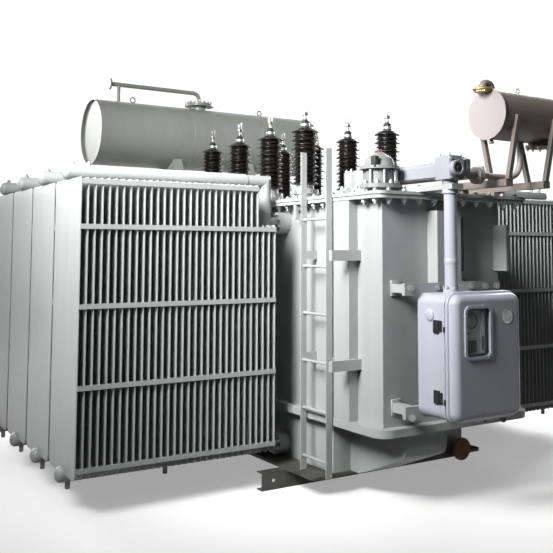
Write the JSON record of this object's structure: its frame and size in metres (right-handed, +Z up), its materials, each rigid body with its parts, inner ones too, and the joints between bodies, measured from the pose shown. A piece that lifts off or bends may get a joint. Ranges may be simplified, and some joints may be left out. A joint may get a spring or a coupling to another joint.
{
  "type": "power transformer",
  "caption": "Oil-filled power transformer with a ribbed bell tank, panel radiator banks, oil conservators, porcelain bushings and a hinged tap-changer drive cabinet.",
  "frame": {"origin": "on the ground under the middle of the object's footprint, which is the middle of the tank", "axes": "+X across the tank towards the low-voltage bushings, +Y along the tank away from the tap-changer end, +Z up"},
  "size_m": [4.42, 4.576, 3.277],
  "materials": {
    "tank_paint": "satin light grey paint",
    "radiator_paint": "satin light grey paint",
    "base_paint": "satin dark grey paint",
    "conservator_paint": "satin grey paint",
    "cabinet_paint": "smooth lavender grey paint",
    "small_conservator_paint": "satin brown grey paint",
    "small_end_paint": "satin pale pinkish paint",
    "porcelain": "gloss dark brown glaze",
    "bare_aluminium": "cast, bare",
    "terminal_metal": "tarnished",
    "black_hinge": "black",
    "window_clear": "clear",
    "plate_white": "off-white",
    "drain_paint": "rust brown"
  },
  "bodies": {
    "transformer": {"base_plate": "base_paint", "bevel_gearbox": "cabinet_paint", "cabinet_body": "cabinet_paint", "cabinet_brackets": "tank_paint", "conservator_ends": "conservator_paint", "conservator_manhole": "conservator_paint", "conservator_pipe": "conservator_paint", "conservator_shell": "conservator_paint", "conservator_supports": "conservator_paint", "drain_valve": "drain_paint", "drive_tube": "cabinet_paint", "end_stiffeners": "tank_paint", "front_base_beam": "base_paint", "gearbox_arm": "tank_paint", "high_row_porcelain": "porcelain", "high_row_terminals": "terminal_metal", "high_row_turrets": "bare_aluminium", "hinge_leaves": "black_hinge", "instrument_plate": "plate_white", "ladder_rails": "tank_paint", "ladder_rungs": "tank_paint", "ladder_stays": "tank_paint", "left_lower_necks": "tank_paint", "left_radiator_1": "radiator_paint", "left_radiator_2": "radiator_paint", "left_radiator_3": "radiator_paint", "left_radiator_4": "radiator_paint", "left_stiffeners": "tank_paint", "left_tie_bars": "radiator_paint", "left_upper_necks": "tank_paint", "lifting_lugs": "tank_paint", "low_row_porcelain": "porcelain", "low_row_terminals": "terminal_metal", "low_row_turrets": "bare_aluminium", "lower_tank": "tank_paint", "pressure_relief": "bare_aluminium", "rear_base_beam": "base_paint", "right_lower_necks": "tank_paint", "right_radiator_1": "radiator_paint", "right_radiator_2": "radiator_paint", "right_radiator_3": "radiator_paint", "right_radiator_4": "radiator_paint", "right_stiffeners": "tank_paint", "right_tie_bars": "radiator_paint", "right_upper_necks": "tank_paint", "shaft_guard": "cabinet_paint", "side_brackets": "tank_paint", "small_conservator": "small_conservator_paint", "small_conservator_ends": "small_end_paint", "small_conservator_legs": "small_conservator_paint", "small_conservator_pipe": "small_conservator_paint", "small_support_beams": "small_conservator_paint", "tank_cover": "tank_paint", "tank_shell": "tank_paint", "tap_changer_head": "bare_aluminium", "vent_pipe": "conservator_paint"},
    "door": {"cabinet_door": "cabinet_paint", "window_frame": "cabinet_paint", "window_glass": "window_clear"}
  },
  "joints": [
    {"name": "cabinet_door_hinge", "type": "hinge", "parent": "transformer", "child": "door", "pos_m": [-0.476, -2.2015, 0.98], "axis": [0, 0, -1], "range_deg": [0, 120]}
  ]
}
